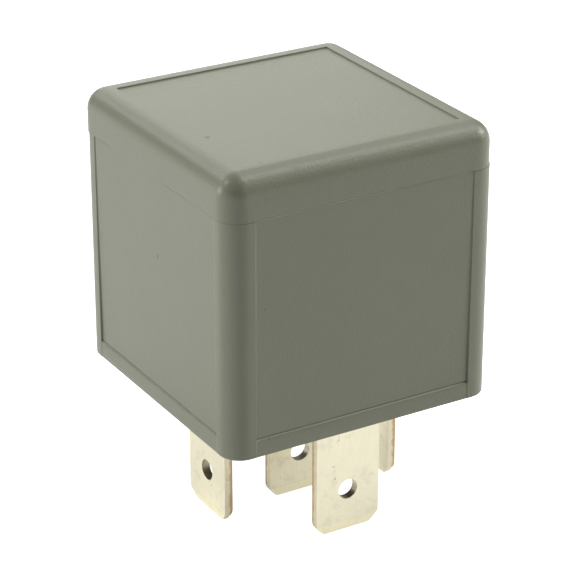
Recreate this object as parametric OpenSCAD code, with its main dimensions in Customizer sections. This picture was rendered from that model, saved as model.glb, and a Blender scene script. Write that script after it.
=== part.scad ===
// Plug-in automotive relay, mini type, with one changeover contact.
// Millimetres, +Z up. The origin is the centre of the seating plane, which is the
// cover's lower rim. The five blades point down from it. The front is -Y.

/* [Cover] */
// Width of the cover along X, across the two coil blades
cover_w = 26; // [25.4:0.1:30]
// Depth of the cover along Y, from the front blade to the rear blade
cover_d = 26; // [25.4:0.1:30]
// Height of the cover above its seating rim
cover_h = 25.1; // [23:0.1:29]
// Thickness of the cover's walls and roof
cover_wall = 1.2; // [0.9:0.05:1.4]
// Radius of the cover's four upright corners
corner_r = 1.95; // [1.7:0.05:2.4]
// Radius of the rounding round the cover's top
top_edge_r = 1.85; // [0.8:0.05:2.2]
// Radius of the rounding along the cover's lower rim
rim_edge_r = 0.15; // [0.1:0.01:0.4]
// Height of the cap band, from the parting line to the top
cap_band_h = 3.9; // [3:0.1:6]
// How far each mould half sits to its own side of the parting line
mould_shift = 0.06; // [0:0.01:0.08]

/* [Cover panels] */
// Width of the upright corner columns beside each side panel
column_w = 2.48; // [2.4:0.02:4]
// Height of the rim strip under each side panel
rim_h = 1.62; // [1.2:0.02:3]
// How far the rim strip lies behind the corner columns
rim_step = 0.05; // [0.02:0.01:0.1]
// How far each side panel lies behind the corner columns at its top edge
panel_step = 0.08; // [0.04:0.01:0.15]
// Extra depth of each side panel at its lower edge
panel_draft = 0.08; // [0.02:0.01:0.15]
// Width of the raised border round the top panel
top_border_w = 2.4; // [2.3:0.1:4]
// Depth of the top panel below its border
top_step = 0.12; // [0.04:0.01:0.25]

/* [Blades] */
// Width of a blade
blade_w = 6.3; // [4.8:0.1:6.5]
// Thickness of the brass strip that each terminal is stamped from
strip_t = 0.8; // [0.6:0.05:0.9]
// Length of a blade below the seating plane
blade_l = 11; // [8:0.1:13]
// Diameter of the detent hole in a blade
detent_d = 1.85; // [1.4:0.05:2.2]
// Distance from a blade's tip to the centre of its hole
detent_from_tip = 4; // [3:0.1:5]
// Width of the cut-off corners at a blade's tip
tip_cut_w = 0.8; // [0.4:0.1:1.4]
// Height of the cut-off corners at a blade's tip
tip_cut_h = 1; // [0.4:0.1:1.4]
// Length of the lead-in bevel on both faces of a blade
bevel_l = 1; // [0.5:0.1:1.6]
// Thickness of a blade at its very tip
tip_t = 0.4; // [0.2:0.05:0.5]

/* [Blade layout] */
// Distance between the two coil blades, 85 and 86
coil_pitch = 16.8; // [16.4:0.1:17.2]
// Distance from blade 87 back to blade 87a
contact_pitch = 8; // [7.6:0.1:8.4]
// Room between the cover's front face and the front of blade 87
front_room = 2.5; // [2.3:0.05:2.7]
// Room between the cover's rear face and the rear edge of blade 30
rear_room = 2.15; // [2:0.05:2.5]
// How far the coil blades stand behind blade 87a
coil_row_setback = 0.8; // [0.4:0.1:1.2]

/* [Base] */
// Thickness of the base plate
base_t = 2.2; // [1.8:0.1:2.8]
// How far the base plate lies above the seating plane
base_lift = 0.3; // [0.1:0.05:0.6]
// Gap between the base plate and the cover's walls
base_gap = 0.08; // [0.04:0.01:0.15]
// Depth of the well in the underside of the base
well_depth = 0.6; // [0.3:0.1:1]
// Width of the border round the well
well_border = 1.3; // [1.2:0.1:1.8]
// Thickness of the collar round each blade slot
collar_w = 0.8; // [0.5:0.05:1]
// Gap between a blade and its slot
slot_gap = 0.04; // [0.02:0.01:0.1]
// Length of each snap nub on the sides of the base
snap_l = 7; // [4:0.5:9]
// Height that each snap nub stands out from the base
snap_out = 0.35; // [0.2:0.05:0.45]

/* [Magnet] */
// Thickness of the yoke's steel
yoke_t = 1.5; // [1.2:0.1:1.8]
// Width of the yoke
yoke_w = 11; // [10:0.5:12]
// Height of the yoke's ears beside the armature's tail
ear_h = 0.9; // [0.5:0.1:1.1]
// Distance from the middle of the cover back to the core's axis
core_setback = 1; // [0.8:0.05:1.3]
// Diameter of the core
core_d = 5.6; // [4.6:0.1:6]
// Diameter of the pole head on top of the core
pole_d = 8.4; // [7:0.1:9]
// Thickness of the pole head
pole_t = 1; // [0.8:0.1:1.4]
// Diameter of the core's spigot through the yoke's foot
spigot_d = 3.6; // [3:0.1:4]
// Distance from the core's axis to the inner face of the yoke
core_to_yoke = 7.2; // [7.1:0.1:7.6]
// Thickness of the bobbin's tube wall
bobbin_wall = 0.7; // [0.5:0.05:0.9]
// Thickness of the bobbin's flanges
flange_t = 0.9; // [0.7:0.1:1.2]
// Diameter of the bobbin's flanges
flange_d = 13.6; // [13.2:0.1:14]
// Diameter over the copper winding
winding_d = 12.2; // [10:0.1:12.6]
// Diameter of the two wire ends that run to the coil terminals
wire_d = 0.3; // [0.2:0.05:0.4]

/* [Armature and contacts] */
// Thickness of the armature's steel
armature_t = 1.3; // [1:0.1:1.6]
// Width of the armature over the pole
armature_w = 10; // [9:0.5:11]
// How far the armature's front end reaches past the core's axis
armature_reach = 5.4; // [4.6:0.1:5.8]
// Angle that the armature is lifted by when the coil is off
lift_angle = 2.4; // [1.6:0.1:3]
// Thickness of the contact spring
spring_t = 0.25; // [0.2:0.01:0.3]
// Width of the contact spring over the armature
spring_w = 8; // [7:0.5:9]
// Width of the window between the spring's two hinge legs
spring_window = 3; // [2:0.5:3.5]
// Inner radius of the spring's bend round the armature's tail
spring_bend_r = 1; // [0.8:0.05:1.1]
// Diameter of the contact heads
contact_d = 3.2; // [2.6:0.1:3.6]
// Height of a fixed contact's head and of the moving contact's lower head
contact_h = 0.6; // [0.4:0.05:0.8]
// Radius of the domes on the contact faces
dome_r = 6; // [4:0.5:10]
// Distance from blade 87 back to the contacts
contact_setback = 2; // [1.9:0.1:2.2]
// Air gap left between faces that meet when the armature moves
air_gap = 0.05; // [0.03:0.01:0.08]
// Space left between the top arm of terminal 87a and the cover's roof
head_room = 0.9; // [0.5:0.1:1.2]

/* [Suppression resistor] */
// Diameter of the resistor's body
resistor_d = 2; // [1.6:0.1:2.2]
// Length of the resistor's body
resistor_l = 6.2; // [4:0.1:7]
// Diameter of the resistor's leads
lead_d = 0.6; // [0.4:0.05:0.7]
// Gap between the resistor and the bobbin's flanges
resistor_gap = 0.4; // [0.2:0.05:0.6]

/* [Hidden] */

$fn = 60;
cut = 1;                // how far a cutting tool runs past the face that it opens
seat_gap = 0.02;        // gap between pieces of the assembly that lie on each other

plastic_grey = [0.53, 0.54, 0.48];
plastic_black = [0.16, 0.16, 0.15];
plastic_cream = [0.82, 0.78, 0.66];
tinned_brass = [0.86, 0.84, 0.73];
magnet_steel = [0.62, 0.63, 0.64];
copper_wire = [0.72, 0.36, 0.17];
spring_bronze = [0.76, 0.58, 0.33];
contact_silver = [0.82, 0.82, 0.8];
solder_tin = [0.7, 0.71, 0.72];
resistor_blue = [0.35, 0.5, 0.62];

// Cover and base
inner_w = cover_w - 2 * cover_wall;
inner_d = cover_d - 2 * cover_wall;
roof_z = cover_h - cover_wall;
inner_r = corner_r - cover_wall / 2;
parting_z = cover_h - cap_band_h;
base_w = inner_w - 2 * base_gap;
base_d = inner_d - 2 * base_gap;
base_top = base_lift + base_t;
base_r = inner_r;
top_panel_r = 0.3;
snap_r = 0.45;
snap_z = base_lift + base_t / 2;
post_w = 1.5;           // corner posts inside the cover, which stop the base

// Blade places
row_87 = front_room + strip_t / 2 - cover_d / 2;
row_87a = row_87 + contact_pitch;
row_30 = cover_d / 2 - rear_room - blade_w / 2;
row_coil = row_87a + coil_row_setback;
coil_x = coil_pitch / 2;

// Stamped terminals inside the relay
fold_r = 0.4;           // inner radius of the folds
shoulder_out = 0.6;     // how far the shoulders reach past each side of a slot
shoulder_h = 1.2;
strap_z = base_top + seat_gap;
rail_h = 1.6;           // rails on the base that carry the yoke's foot
foot_z = base_top + rail_h + seat_gap;
rail_w = 1.4;
arm_x = 5.4;            // inner edge of terminal 87a's upright
arm_w = 3.6;
riser_w = 5;
shelf_l = 4.2;
strap_setback = 2;      // from blade 87 back to the front edge of terminal 87a's crossbar
crossbar_w = 2.4;
tab_w = 2.6;            // wire tabs of the coil terminals
tab_h = 7;
tab_30_gap = 0.1;       // gap between terminal 30's tab and the rail beside it
tab_30_l = yoke_w / 2 - rail_w - tab_30_gap - strip_t / 2 - fold_r;

// Heights of the moving parts, from the roof down. Lengths are from the hinge line,
// which is the rear upper edge of the yoke.
core_y = core_setback;
yoke_front = core_y + core_to_yoke;
hinge_y = yoke_front + yoke_t;
contact_y = row_87 + contact_setback;
contact_arm = hinge_y - contact_y;
upper_head_trim = 0.1;  // how much lower the moving contact's upper head is
upper_head_h = contact_h - upper_head_trim;
stack_h = armature_t + 2 * seat_gap + spring_t + upper_head_h;
stack_top = contact_arm * sin(lift_angle) + stack_h * cos(lift_angle)
    + dome_r * (1 - cos(lift_angle));
arm_top = roof_z - head_room;
arm_z = arm_top - strip_t;
nc_face_z = arm_z - seat_gap - contact_h;
hinge_z = nc_face_z - air_gap - stack_top;
yoke_top = hinge_z - air_gap / 2;
pole_z = hinge_z - air_gap;
nc_y = hinge_y - contact_arm * cos(lift_angle) + stack_h * sin(lift_angle);
spring_z = hinge_z + armature_t + seat_gap;
no_face_z = spring_z - seat_gap - contact_h - air_gap;
shelf_top = no_face_z - contact_h - seat_gap;

// Magnet
foot_top = foot_z + yoke_t;
foot_reach = 3.6;       // how far the foot runs in front of the core's axis
foot_r = 2;             // radius of the foot's front corners
rail_reach = 2;         // how far the rails run in front of the core's axis
spigot_head_h = 0.4;
spigot_lip = 0.4;       // how far the spigot is spread over the foot
spigot_head_d = spigot_d + 2 * spigot_lip;
spigot_edge = 0.3;      // slope of the spread spigot's edge
pole_edge = 0.2;        // chamfer round the pole head
bobbin_z = foot_top + seat_gap;
bobbin_top = pole_z - pole_t - seat_gap;
core_gap = 0.05;        // gap between the core and the bobbin's tube
tube_d = core_d + 2 * (core_gap + bobbin_wall);
winding_z = bobbin_z + flange_t + seat_gap;
winding_top = bobbin_top - flange_t - seat_gap;
ear_w = 1.3;
tail_gap = 0.12;        // gap between the armature's tail and the yoke's ears
tail_w = yoke_w - 2 * (ear_w + tail_gap);
tail_inset = 0.1;       // how far the tail's end lies inside the yoke's rear face
tail_end = hinge_y - tail_inset;
yoke_bend_r = 0.8;

// Spring and rivets
rivet_d = 1.5;
rivet_head_d = 2.6;
rivet_head_h = 0.5;
rivet_gap = 0.03;
rivet_x = 2.2;
armature_rivet_y = core_y + 1.5;
spring_back_y = hinge_y + seat_gap;
spring_arc_z = hinge_z
    + (armature_t + seat_gap - spring_bend_r
        + (spring_bend_r - seat_gap) * sin(lift_angle)) / cos(lift_angle);
spring_arc_y = spring_back_y - spring_bend_r;
spring_back_h = 8.5;
yoke_rivet_drop = 5.5;  // from the hinge line down to the rivets on the yoke
spring_nose_r = 2.4;
tail_head_d = 2.2;      // rear heads of the fixed contacts
tail_head_h = 0.25;
window_l = 3;           // length of the spring's window, each side of the bend
terminal_rivet_x = -(strip_t / 2 + fold_r + tab_30_l / 2);
terminal_rivet_inset = 0.5; // from the yoke's inner face forward to terminal 30's rivet
terminal_rivet_y = yoke_front - terminal_rivet_inset;

// Coil terminals, wires and resistor
tab_face_x = coil_x - strip_t / 2;
resistor_rise = 1.8;    // from the strap of terminal 87a up to the resistor
resistor_y = core_y - flange_d / 2 - resistor_gap - resistor_d / 2;
resistor_z = base_top + strip_t + resistor_rise + resistor_d / 2;
waist_d = 0.88 * resistor_d;
lead_x = tab_face_x - seat_gap - lead_d / 2;
lead_end_y = row_coil;
lead_turn_r = 0.9;
wire_rise = 2;          // from the resistor's leads up to the winding's wires
wire_z = resistor_z + wire_rise;
bead_r = 0.75;
bead_shift = 0.2;       // how far the beads sit in front of the tabs' middles
notch_r = tab_w / 8;    // wire notches in the coil terminals' tabs

// A block with rounded upright corners, centred in X and Y, standing on z = 0.
module rounded_block(w, d, h, r) {
    translate([-w / 2 + r, -d / 2, 0]) cube([w - 2 * r, d, h]);
    translate([-w / 2, -d / 2 + r, 0]) cube([w, d - 2 * r, h]);
    at_corners(w / 2 - r, d / 2 - r) rotate_extrude(angle = 90) square([r, h]);
}

// Places a piece that is made for the +X +Y corner at all four corners.
module at_corners(x, y) {
    for (sx = [1, -1], sy = [1, -1])
        mirror([sx < 0 ? 1 : 0, 0, 0]) mirror([0, sy < 0 ? 1 : 0, 0])
            translate([x, y, 0]) children();
}

// Half of an upright section, from the middle out, with its upper outer edge rounded.
module edge_profile(half, h, edge_r) {
    square([half, h - edge_r]);
    square([half - edge_r, h]);
    translate([half - edge_r, h - edge_r]) intersection() {
        circle(edge_r);
        square(edge_r);
    }
}

// A block with rounded upright corners and a rounded upper edge.
module soft_block(w, d, h, r, edge_r) {
    for (m = [0, 1]) {
        mirror([m, 0, 0]) translate([0, d / 2 - r, 0]) rotate([90, 0, 0])
            linear_extrude(d - 2 * r) edge_profile(w / 2, h, edge_r);
        mirror([0, m, 0]) translate([-w / 2 + r, 0, 0]) rotate([90, 0, 90])
            linear_extrude(w - 2 * r) edge_profile(d / 2, h, edge_r);
    }
    at_corners(w / 2 - r, d / 2 - r) rotate_extrude(angle = 90) edge_profile(r, h, edge_r);
}

// A curved strip about the X axis. Angles run from +Y towards +Z.
module bend(r, t, w, from, to) {
    rotate([0, 90, 0]) rotate([0, 0, from + 90])
        rotate_extrude(angle = to - from) translate([r, -w / 2]) square([t, w]);
}

// A round head whose face is a shallow dome, standing on z = 0.
module domed_head(d, h, r) {
    intersection() {
        cylinder(d = d, h = h);
        translate([0, 0, h - r]) sphere(r, $fn = 4 * $fn);
    }
}

// Puts a piece at each of two places at equal distances either side of X = 0.
module in_pair(x) {
    for (side = [-1, 1]) translate([side * x, 0, 0]) children();
}

// Lifts a piece that is drawn with the armature closed to where it rests.
module lifted() {
    translate([0, hinge_y, hinge_z]) rotate([-lift_angle, 0, 0])
        translate([0, -hinge_y, -hinge_z]) children();
}

// ---- Cover ----

// The cover's outside, in two mould halves that meet at the parting line.
module cover_outside() {
    half_w = cover_w - 2 * mould_shift;
    half_d = cover_d - mould_shift;
    translate([mould_shift, mould_shift / 2, parting_z]) mirror([0, 0, 1])
        soft_block(half_w, half_d, parting_z, corner_r, rim_edge_r);
    translate([-mould_shift, -mould_shift / 2, parting_z])
        soft_block(half_w, half_d, cap_band_h, corner_r, top_edge_r);
}

// Cuts one side panel and the rim strip under it, on the side that faces -Y.
// The panel leans in a little towards its lower edge.
module side_panel_cut(w, d) {
    panel_w = w - 2 * column_w;
    panel_h = parting_z - rim_h;
    lean = atan(panel_draft / panel_h);
    translate([-panel_w / 2, -d / 2 - cut, -cut])
        cube([panel_w, cut + rim_step, rim_h + 2 * cut]);
    translate([0, -d / 2 + panel_step, parting_z]) intersection() {
        rotate([lean, 0, 0]) translate([-panel_w / 2, -2 * cut, -2 * panel_h])
            cube([panel_w, 2 * cut, 3 * panel_h]);
        translate([-panel_w / 2, -2 * cut, -panel_h])
            cube([panel_w, 4 * cut, panel_h]);
    }
}

// The space inside the cover, with posts left in its corners above the base.
module cover_inside() {
    translate([0, 0, -cut])
        rounded_block(inner_w, inner_d, base_top + seat_gap + cut, inner_r);
    difference() {
        translate([0, 0, base_top])
            soft_block(inner_w, inner_d, roof_z - base_top, inner_r, inner_r / 2);
        at_corners(inner_w / 2 - post_w, inner_d / 2 - post_w)
            translate([0, 0, base_top + seat_gap])
                cube([post_w + cut, post_w + cut, roof_z]);
    }
}

// Rods along the two long sides, which are the base's snap nubs and, grown, their grooves.
module snap_rods(grow) {
    for (side = [-1, 1])
        translate([side * (base_w / 2 + snap_out - snap_r), 0, snap_z])
            rotate([90, 0, 0])
                cylinder(r = snap_r + grow, h = snap_l + 2 * grow, center = true);
}

module cover() {
    color(plastic_grey) difference() {
        cover_outside();
        for (turn = [0, 180]) {
            rotate([0, 0, turn]) side_panel_cut(cover_w, cover_d);
            rotate([0, 0, turn + 90]) side_panel_cut(cover_d, cover_w);
        }
        translate([0, 0, cover_h - top_step])
            rounded_block(cover_w - 2 * top_border_w, cover_d - 2 * top_border_w, cut,
                top_panel_r);
        cover_inside();
        snap_rods(base_gap);
    }
}

// ---- Base ----

// A blade-sized upright block at a blade's place, grown by a given amount.
module blade_space(x, y, turned, grow, z, h) {
    translate([x, y, z]) rotate([0, 0, turned ? 90 : 0])
        translate([-blade_w / 2 - grow, -strip_t / 2 - grow, 0])
            cube([blade_w + 2 * grow, strip_t + 2 * grow, h]);
}

// The five blade places, grown by a given amount.
module blade_spaces(grow, z, h) {
    blade_space(0, row_87, false, grow, z, h);
    blade_space(0, row_87a, false, grow, z, h);
    blade_space(0, row_30, true, grow, z, h);
    for (side = [-1, 1]) blade_space(side * coil_x, row_coil, true, grow, z, h);
}

// Rails that carry the yoke's foot above the strap of terminal 87a.
module foot_rails() {
    for (side = [-1, 1])
        translate([side * (yoke_w - rail_w) / 2 - rail_w / 2, core_y - rail_reach, base_top])
            cube([rail_w, hinge_y - core_y + rail_reach, rail_h]);
}

module base() {
    color(plastic_black) difference() {
        union() {
            translate([0, 0, base_lift]) rounded_block(base_w, base_d, base_t, base_r);
            intersection() {
                snap_rods(0);
                cube([base_w + 4 * snap_r, snap_l, 4 * base_t], center = true);
            }
            foot_rails();
        }
        difference() {
            translate([0, 0, base_lift - cut])
                rounded_block(base_w - 2 * well_border, base_d - 2 * well_border,
                    cut + well_depth, base_r / 2);
            blade_spaces(collar_w, base_lift - 2 * cut, 4 * cut);
        }
        blade_spaces(slot_gap, base_lift - cut, base_t + 2 * cut);
    }
}

// ---- Terminals ----

// One blade, from its tip up to a given height, as wide as X and as thick as Y.
module blade(top) {
    side_x = blade_w / 2;
    side_y = strip_t / 2;
    difference() {
        intersection() {
            rotate([90, 0, 0]) linear_extrude(2 * strip_t, center = true) polygon([
                [-side_x, top], [-side_x, tip_cut_h - blade_l],
                [tip_cut_w - side_x, -blade_l], [side_x - tip_cut_w, -blade_l],
                [side_x, tip_cut_h - blade_l], [side_x, top]
            ]);
            rotate([90, 0, 90]) linear_extrude(2 * blade_w, center = true) polygon([
                [-side_y, top], [-side_y, bevel_l - blade_l], [-tip_t / 2, -blade_l],
                [tip_t / 2, -blade_l], [side_y, bevel_l - blade_l], [side_y, top]
            ]);
        }
        translate([0, 0, detent_from_tip - blade_l]) rotate([90, 0, 0])
            cylinder(d = detent_d, h = 2 * strip_t, center = true);
    }
}

// Shoulders that stop a terminal on top of the base.
module shoulders() {
    translate([-blade_w / 2 - shoulder_out, -strip_t / 2, strap_z])
        cube([blade_w + 2 * shoulder_out, strip_t, shoulder_h]);
}

// Terminal 30 folds over under the yoke's foot and is riveted to it.
module terminal_30() {
    fold_z = foot_z - seat_gap - strip_t - fold_r;
    color(tinned_brass) difference() {
        translate([0, row_30, 0]) rotate([0, 0, 90]) {
            blade(fold_z);
            translate([0, strip_t / 2 + fold_r, fold_z])
                bend(fold_r, strip_t, blade_w, 90, 180);
            translate([-blade_w / 2, strip_t / 2 + fold_r, fold_z + fold_r])
                cube([blade_w, tab_30_l, strip_t]);
        }
        translate([terminal_rivet_x, terminal_rivet_y, 0])
            cylinder(d = rivet_d + 2 * rivet_gap, h = foot_top);
    }
}

// A coil terminal: shoulders on the base and a narrow tab for the wire and resistor.
module coil_terminal() {
    color(tinned_brass) {
        blade(strap_z + shoulder_h);
        shoulders();
        difference() {
            translate([-tab_w / 2, -strip_t / 2, strap_z]) cube([tab_w, strip_t, tab_h]);
            for (side = [-1, 1])
                translate([side * tab_w / 2, 0, wire_z]) rotate([90, 0, 0])
                    cylinder(r = notch_r, h = 2 * strip_t, center = true);
        }
    }
}

module terminal_85() {
    translate([coil_x, row_coil, 0]) rotate([0, 0, 90]) coil_terminal();
}

module terminal_86() {
    translate([-coil_x, row_coil, 0]) rotate([0, 0, -90]) coil_terminal();
}

// Terminal 87 rises in front and folds back into the shelf of the normally open contact.
module terminal_87() {
    fold_z = shelf_top - strip_t - fold_r;
    color(tinned_brass) difference() {
        translate([0, row_87, 0]) {
            blade(strap_z + shoulder_h);
            shoulders();
            translate([-riser_w / 2, -strip_t / 2, strap_z])
                cube([riser_w, strip_t, fold_z - strap_z]);
            translate([0, strip_t / 2 + fold_r, fold_z])
                bend(fold_r, strip_t, riser_w, 90, 180);
            translate([-riser_w / 2, strip_t / 2 + fold_r, fold_z + fold_r])
                cube([riser_w, shelf_l - strip_t - fold_r, strip_t]);
        }
        translate([0, contact_y, shelf_top - 2 * strip_t])
            cylinder(d = rivet_d + 2 * rivet_gap, h = 3 * strip_t);
    }
}

// Terminal 87a folds forward on the base, passes the coil on the right, rises beside
// terminal 87 and folds back over the moving contact.
module terminal_87a() {
    cross_y = row_87 + strap_setback;
    fold_z = strap_z + strip_t + fold_r;
    upper_fold_z = arm_z - fold_r;
    color(tinned_brass) difference() {
        union() {
            translate([0, row_87a, 0]) {
                blade(strap_z);
                translate([-blade_w / 2, -strip_t / 2, strap_z])
                    cube([blade_w, strip_t, strip_t]);
            }
            translate([-blade_w / 2, cross_y, strap_z])
                cube([blade_w, row_87a - cross_y, strip_t]);
            translate([-blade_w / 2, cross_y, strap_z])
                cube([arm_x + arm_w + blade_w / 2, crossbar_w, strip_t]);
            translate([arm_x, row_87 + strip_t / 2 + fold_r, strap_z])
                cube([arm_w, cross_y + crossbar_w - row_87 - strip_t / 2 - fold_r, strip_t]);
            translate([arm_x + arm_w / 2, row_87 + strip_t / 2 + fold_r, fold_z])
                bend(fold_r, strip_t, arm_w, 180, 270);
            translate([arm_x, row_87 - strip_t / 2, fold_z])
                cube([arm_w, strip_t, upper_fold_z - fold_z]);
            translate([arm_x + arm_w / 2, row_87 + strip_t / 2 + fold_r, upper_fold_z])
                bend(fold_r, strip_t, arm_w, 90, 180);
            translate([arm_x, row_87 + strip_t / 2 + fold_r, arm_z])
                cube([arm_w, shelf_l - strip_t - fold_r, strip_t]);
            translate([0, row_87 + strip_t / 2 + fold_r, arm_z])
                cube([arm_x + arm_w / 2, shelf_l - strip_t - fold_r, strip_t]);
            translate([0, row_87 + (shelf_l + fold_r) / 2, arm_z])
                cylinder(d = shelf_l - strip_t - fold_r, h = strip_t);
        }
        translate([0, nc_y, arm_z - strip_t])
            cylinder(d = rivet_d + 2 * rivet_gap, h = 3 * strip_t);
    }
}

// ---- Magnet ----

// The yoke: a foot under the coil and an upright leg behind it, folded from one plate.
module yoke() {
    bend_z = foot_top + yoke_bend_r;
    bend_y = yoke_front - yoke_bend_r;
    foot_y = core_y - foot_reach;
    color(magnet_steel) difference() {
        union() {
            translate([-yoke_w / 2, foot_y + foot_r, foot_z])
                cube([yoke_w, bend_y - foot_y - foot_r, yoke_t]);
            translate([-yoke_w / 2 + foot_r, foot_y, foot_z])
                cube([yoke_w - 2 * foot_r, bend_y - foot_y, yoke_t]);
            for (side = [-1, 1])
                translate([side * (yoke_w / 2 - foot_r), foot_y + foot_r, foot_z])
                    rotate([0, 0, side > 0 ? 270 : 180])
                        rotate_extrude(angle = 90) square([foot_r, yoke_t]);
            translate([0, bend_y, bend_z]) bend(yoke_bend_r, yoke_t, yoke_w, 270, 360);
            translate([-yoke_w / 2, yoke_front, bend_z])
                cube([yoke_w, yoke_t, yoke_top - bend_z]);
            in_pair(yoke_w / 2 - ear_w / 2)
                translate([-ear_w / 2, yoke_front, yoke_top]) cube([ear_w, yoke_t, ear_h]);
        }
        translate([0, core_y, foot_z - cut])
            cylinder(d = spigot_d + 2 * seat_gap, h = yoke_t + 2 * cut);
        translate([terminal_rivet_x, terminal_rivet_y, foot_z - cut])
            cylinder(d = rivet_d + 2 * rivet_gap, h = yoke_t + 2 * cut);
        in_pair(rivet_x) translate([0, hinge_y + cut, hinge_z - yoke_rivet_drop])
            rotate([90, 0, 0]) cylinder(d = rivet_d + 2 * rivet_gap, h = yoke_t + 2 * cut);
    }
}

// The core: pole head, stem, and a spigot riveted over under the yoke's foot.
module core() {
    color(magnet_steel) translate([0, core_y, 0]) rotate_extrude() polygon([
        [0, foot_z - spigot_head_h - seat_gap],
        [spigot_head_d / 2 - spigot_edge, foot_z - spigot_head_h - seat_gap],
        [spigot_head_d / 2, foot_z - seat_gap], [spigot_d / 2, foot_z - seat_gap],
        [spigot_d / 2, foot_top + seat_gap], [core_d / 2, foot_top + seat_gap],
        [core_d / 2, pole_z - pole_t], [pole_d / 2, pole_z - pole_t],
        [pole_d / 2, pole_z - pole_edge], [pole_d / 2 - pole_edge, pole_z], [0, pole_z]
    ]);
}

// One bobbin flange, flattened where it faces the yoke and the front.
module flange() {
    flat_d = 2 * (core_to_yoke - yoke_bend_r - core_gap);
    intersection() {
        cylinder(d = flange_d, h = flange_t);
        translate([-flange_d, -flat_d / 2, -cut]) cube([2 * flange_d, flat_d, flange_t + 2 * cut]);
    }
}

module bobbin() {
    color(plastic_cream) translate([0, core_y, 0]) difference() {
        union() {
            translate([0, 0, bobbin_z]) flange();
            translate([0, 0, bobbin_z]) cylinder(d = tube_d, h = bobbin_top - bobbin_z);
            translate([0, 0, bobbin_top - flange_t]) flange();
        }
        translate([0, 0, bobbin_z - cut])
            cylinder(d = core_d + 2 * core_gap, h = bobbin_top - bobbin_z + 2 * cut);
    }
}

// The winding, with its two wire ends running out to the coil terminals.
module coil_winding() {
    color(copper_wire) difference() {
        union() {
            translate([0, core_y, winding_z])
                cylinder(d = winding_d, h = winding_top - winding_z);
            for (side = [-1, 1])
                translate([side * winding_d / 4, row_coil, wire_z]) rotate([0, side * 90, 0])
                    cylinder(d = wire_d, h = tab_face_x - seat_gap - winding_d / 4);
        }
        translate([0, core_y, winding_z - cut])
            cylinder(d = tube_d + 2 * seat_gap, h = winding_top - winding_z + 2 * cut);
    }
}

// ---- Armature and contacts ----

// The armature: a plate over the pole, with a narrower tail between the yoke's ears.
module armature() {
    front_y = core_y - armature_reach;
    tail_y = yoke_front - tail_gap;
    nose_cut = 2;
    tail_chamfer = 0.9 * armature_t;
    color(magnet_steel) lifted() difference() {
        translate([0, 0, hinge_z]) linear_extrude(armature_t) polygon([
            [-armature_w / 2 + nose_cut, front_y], [armature_w / 2 - nose_cut, front_y],
            [armature_w / 2, front_y + nose_cut], [armature_w / 2, tail_y],
            [tail_w / 2, tail_y], [tail_w / 2, tail_end], [-tail_w / 2, tail_end],
            [-tail_w / 2, tail_y], [-armature_w / 2, tail_y],
            [-armature_w / 2, front_y + nose_cut]
        ]);
        translate([0, tail_end, hinge_z + armature_t]) rotate([45, 0, 0])
            cube([2 * armature_w, tail_chamfer, tail_chamfer], center = true);
        in_pair(rivet_x) translate([0, armature_rivet_y, hinge_z - cut])
            cylinder(d = rivet_d + 2 * rivet_gap, h = armature_t + 2 * cut);
    }
}

// The contact spring: an arm on top of the armature that carries the moving contact,
// two hinge legs round the armature's tail, and a back plate riveted to the yoke.
module contact_spring() {
    leg_w = (spring_w - spring_window) / 2;
    arm_end = hinge_y + (seat_gap - spring_bend_r) * cos(lift_angle)
        - (spring_arc_z - hinge_z) * sin(lift_angle) + seat_gap;
    color(spring_bronze) {
        lifted() difference() {
            translate([0, 0, spring_z]) linear_extrude(spring_t) {
                polygon([
                    [-spring_w / 2, arm_end], [-spring_w / 2, core_y - armature_reach],
                    [-spring_nose_r, contact_y], [spring_nose_r, contact_y],
                    [spring_w / 2, core_y - armature_reach], [spring_w / 2, arm_end]
                ]);
                translate([0, contact_y]) circle(spring_nose_r);
            }
            translate([0, contact_y, spring_z - cut])
                cylinder(d = rivet_d + 2 * rivet_gap, h = 2 * cut + spring_t);
            in_pair(rivet_x) translate([0, armature_rivet_y, spring_z - cut])
                cylinder(d = rivet_d + 2 * rivet_gap, h = 2 * cut + spring_t);
            translate([-spring_window / 2, arm_end - window_l, spring_z - cut])
                cube([spring_window, window_l + cut, 2 * cut + spring_t]);
        }
        in_pair(spring_window / 2 + leg_w / 2)
            translate([0, spring_arc_y, spring_arc_z])
                bend(spring_bend_r, spring_t, leg_w, 0, 90 - lift_angle);
        difference() {
            translate([-spring_w / 2, spring_back_y, hinge_z - spring_back_h])
                cube([spring_w, spring_t, spring_arc_z - hinge_z + spring_back_h]);
            translate([-spring_window / 2, spring_back_y - cut, hinge_z - window_l])
                cube([spring_window, spring_t + 2 * cut, spring_back_h]);
            in_pair(rivet_x)
                translate([0, hinge_y + cut + spring_t, hinge_z - yoke_rivet_drop])
                    rotate([90, 0, 0])
                        cylinder(d = rivet_d + 2 * rivet_gap, h = spring_t + 2 * cut);
        }
    }
}

// The moving contact: a rivet with a domed head on each side of the spring.
module moving_contact() {
    color(contact_silver) lifted() translate([0, contact_y, 0]) {
        translate([0, 0, spring_z + spring_t + seat_gap])
            domed_head(contact_d, upper_head_h, dome_r);
        translate([0, 0, spring_z - 2 * seat_gap])
            cylinder(d = rivet_d, h = spring_t + 4 * seat_gap);
        translate([0, 0, spring_z - seat_gap]) mirror([0, 0, 1])
            domed_head(contact_d, contact_h, dome_r);
    }
}

// A fixed contact: a domed head on z = 0 with a rivet shank through the strip behind it.
module fixed_contact() {
    color(contact_silver) {
        domed_head(contact_d, contact_h, dome_r);
        translate([0, 0, -strip_t - 2 * seat_gap])
            cylinder(d = rivet_d, h = strip_t + 3 * seat_gap);
        translate([0, 0, -strip_t - 2 * seat_gap]) mirror([0, 0, 1])
            cylinder(d = tail_head_d, h = tail_head_h);
    }
}

module fixed_contact_no() {
    translate([0, contact_y, shelf_top + seat_gap]) fixed_contact();
}

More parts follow.
